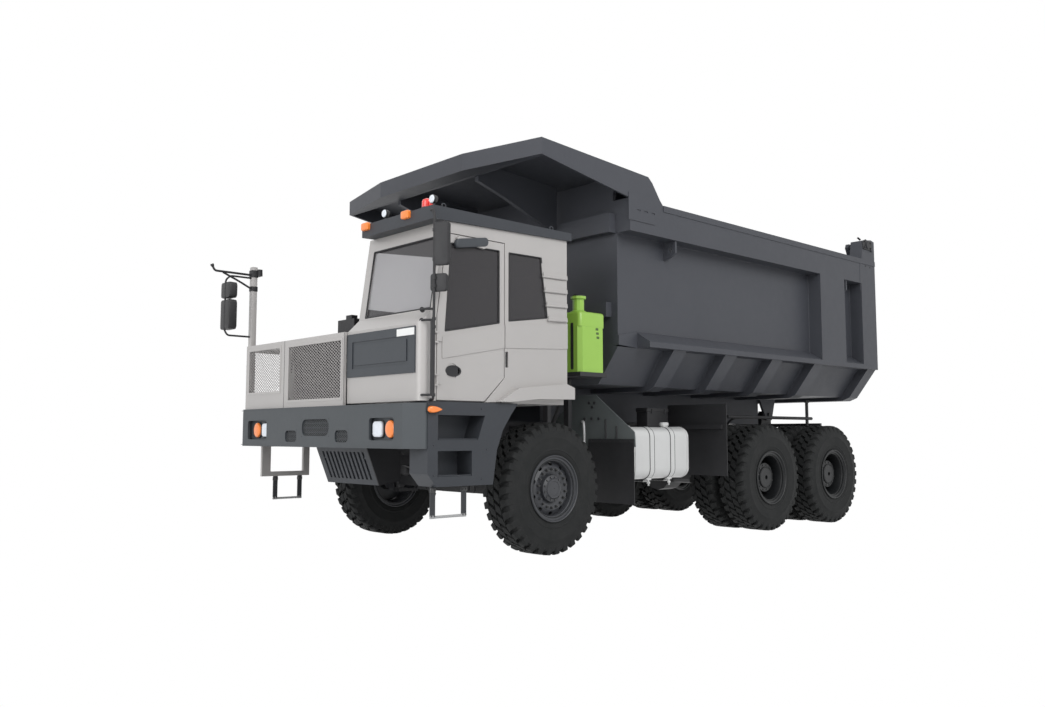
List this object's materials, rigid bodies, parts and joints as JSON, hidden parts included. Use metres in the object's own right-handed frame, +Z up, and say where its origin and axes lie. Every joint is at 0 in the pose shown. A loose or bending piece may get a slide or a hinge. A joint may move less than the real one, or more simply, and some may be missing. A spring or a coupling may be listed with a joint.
{
  "type": "mining dump truck",
  "caption": "Wide-body mining dump truck with an offset cab, a deep rock bed with a canopy, twin rear axles and a telescopic front hoist.",
  "frame": {"origin": "ground level under the middle of the truck's box", "axes": "+X forward along the truck's length, +Y to its left side, +Z up"},
  "size_m": [9.9, 4.06, 4.682],
  "materials": {
    "chassis_black": "satin black paint",
    "body_grey": "gloss light warm grey paint",
    "slate": "satin slate paint",
    "charcoal": "satin charcoal paint",
    "rim_grey": "satin dark grey paint",
    "tyre": "new black tread rubber",
    "black_plastic": "grained black plastic",
    "rubber": "matt black rubber",
    "tank_silver": "silver paint",
    "green": "gloss lime green paint",
    "glass": "tinted clear glass",
    "lamps": "clear lamp lenses",
    "mesh": "painted steel mesh",
    "seat_fabric": "dark woven seat cloth",
    "engine_iron": "painted cast iron",
    "hoist_steel": "painted steel tube"
  },
  "bodies": {
    "truck_frame": {"chassis_frame": "chassis_black", "front_axle": "chassis_black", "suspension": "chassis_black", "rear_axles": "chassis_black", "radiator_guard": "chassis_black", "hanging_steps": "chassis_black", "front_mudguards": "chassis_black", "rear_lamp_bar": "chassis_black", "radiator": "chassis_black", "cab_front": "body_grey", "cab_left_side": "body_grey", "cab_shell": "body_grey", "cab_roof": "body_grey", "deck_front_frame": "body_grey", "deck_right_side": "body_grey", "deck_plate": "body_grey", "front_bumper": "slate", "left_skirt": "slate", "right_skirt": "slate", "roof_plate": "slate", "cab_front_plate": "black_plastic", "left_mirrors": "black_plastic", "right_mirrors": "black_plastic", "dashboard": "black_plastic", "mudflaps": "rubber", "fuel_tank": "tank_silver", "hydraulic_tank": "green", "cab_glass": "glass", "front_lamps": "lamps", "roof_lamps": "lamps", "grille_mesh": "mesh", "driver_seat": "seat_fabric", "engine_block": "engine_iron"},
    "left_knuckle": {"left_knuckle": "chassis_black"},
    "right_knuckle": {"right_knuckle": "chassis_black"},
    "front_left_wheel": {"front_left_tyre": "tyre", "front_left_rim": "rim_grey"},
    "front_right_wheel": {"front_right_tyre": "tyre", "front_right_rim": "rim_grey"},
    "rear_left_wheels_1": {"rear_left_tyres_1": "tyre", "rear_left_rims_1": "rim_grey"},
    "rear_left_wheels_2": {"rear_left_tyres_2": "tyre", "rear_left_rims_2": "rim_grey"},
    "rear_right_wheels_1": {"rear_right_tyres_1": "tyre", "rear_right_rims_1": "rim_grey"},
    "rear_right_wheels_2": {"rear_right_tyres_2": "tyre", "rear_right_rims_2": "rim_grey"},
    "bed": {"bed_floor": "charcoal", "bed_left_side": "charcoal", "bed_right_side": "charcoal", "bed_front_wall": "charcoal", "bed_canopy": "charcoal"},
    "tailgate": {"tailgate": "charcoal"},
    "driver_door": {"driver_door": "body_grey", "driver_door_glass": "glass"},
    "hoist_barrel": {"hoist_barrel": "hoist_steel"},
    "hoist_stage_1": {"hoist_stage_1": "hoist_steel"},
    "hoist_stage_2": {"hoist_stage_2": "hoist_steel"},
    "hoist_stage_3": {"hoist_stage_3": "hoist_steel"}
  },
  "joints": [
    {"name": "steer_left", "type": "hinge", "parent": "truck_frame", "child": "left_knuckle", "pos_m": [2.43, 1.25, 0.7465], "axis": [0, 0, 1], "range_deg": [-32, 32]},
    {"name": "front_left_spin", "type": "hinge", "parent": "left_knuckle", "child": "front_left_wheel", "pos_m": [2.43, 1.54, 0.7465], "axis": [0, 1, 0], "continuous": true},
    {"name": "rear_left_spin_1", "type": "hinge", "parent": "truck_frame", "child": "rear_left_wheels_1", "pos_m": [-1.73, 1.475, 0.7465], "axis": [0, 1, 0], "continuous": true},
    {"name": "rear_left_spin_2", "type": "hinge", "parent": "truck_frame", "child": "rear_left_wheels_2", "pos_m": [-3.49, 1.475, 0.7465], "axis": [0, 1, 0], "continuous": true},
    {"name": "steer_right", "type": "hinge", "parent": "truck_frame", "child": "right_knuckle", "pos_m": [2.43, -1.25, 0.7465], "axis": [0, 0, 1], "range_deg": [-32, 32]},
    {"name": "front_right_spin", "type": "hinge", "parent": "right_knuckle", "child": "front_right_wheel", "pos_m": [2.43, -1.54, 0.7465], "axis": [0, 1, 0], "continuous": true},
    {"name": "rear_right_spin_1", "type": "hinge", "parent": "truck_frame", "child": "rear_right_wheels_1", "pos_m": [-1.73, -1.475, 0.7465], "axis": [0, 1, 0], "continuous": true},
    {"name": "rear_right_spin_2", "type": "hinge", "parent": "truck_frame", "child": "rear_right_wheels_2", "pos_m": [-3.49, -1.475, 0.7465], "axis": [0, 1, 0], "continuous": true},
    {"name": "bed_tip", "type": "hinge", "parent": "truck_frame", "child": "bed", "pos_m": [-3.92, 0, 1.68], "axis": [0, -1, 0], "range_deg": [0, 48]},
    {"name": "tailgate_swing", "type": "hinge", "parent": "bed", "child": "tailgate", "pos_m": [-4.69, 0, 4.5], "axis": [0, 1, 0], "range_deg": [0, 60]},
    {"name": "door_swing", "type": "hinge", "parent": "truck_frame", "child": "driver_door", "pos_m": [4.2, 1.866, 2], "axis": [0, 0, -1], "range_deg": [0, 75]},
    {"name": "hoist_tilt", "type": "hinge", "parent": "truck_frame", "child": "hoist_barrel", "pos_m": [1.78, 0, 1], "axis": [0, -1, 0], "range_deg": [0, 25.4]},
    {"name": "hoist_extend_1", "type": "slide", "parent": "hoist_barrel", "child": "hoist_stage_1", "axis": [0, 0, 1], "range_m": [0, 1.5]},
    {"name": "hoist_extend_2", "type": "slide", "parent": "hoist_stage_1", "child": "hoist_stage_2", "axis": [0, 0, 1], "range_m": [0, 1.5]},
    {"name": "hoist_extend_3", "type": "slide", "parent": "hoist_stage_2", "child": "hoist_stage_3", "axis": [0, 0, 1], "range_m": [0, 1.5]}
  ],
  "couplings": [
    {"joint": "steer_right", "follows": "steer_left", "ratio": 1},
    {"joint": "hoist_tilt", "follows": "bed_tip", "ratio": 0.5281},
    {"joint": "hoist_extend_1", "follows": "bed_tip", "m_per_rad": 1.7865},
    {"joint": "hoist_extend_2", "follows": "bed_tip", "m_per_rad": 1.7865},
    {"joint": "hoist_extend_3", "follows": "bed_tip", "m_per_rad": 1.7865}
  ]
}
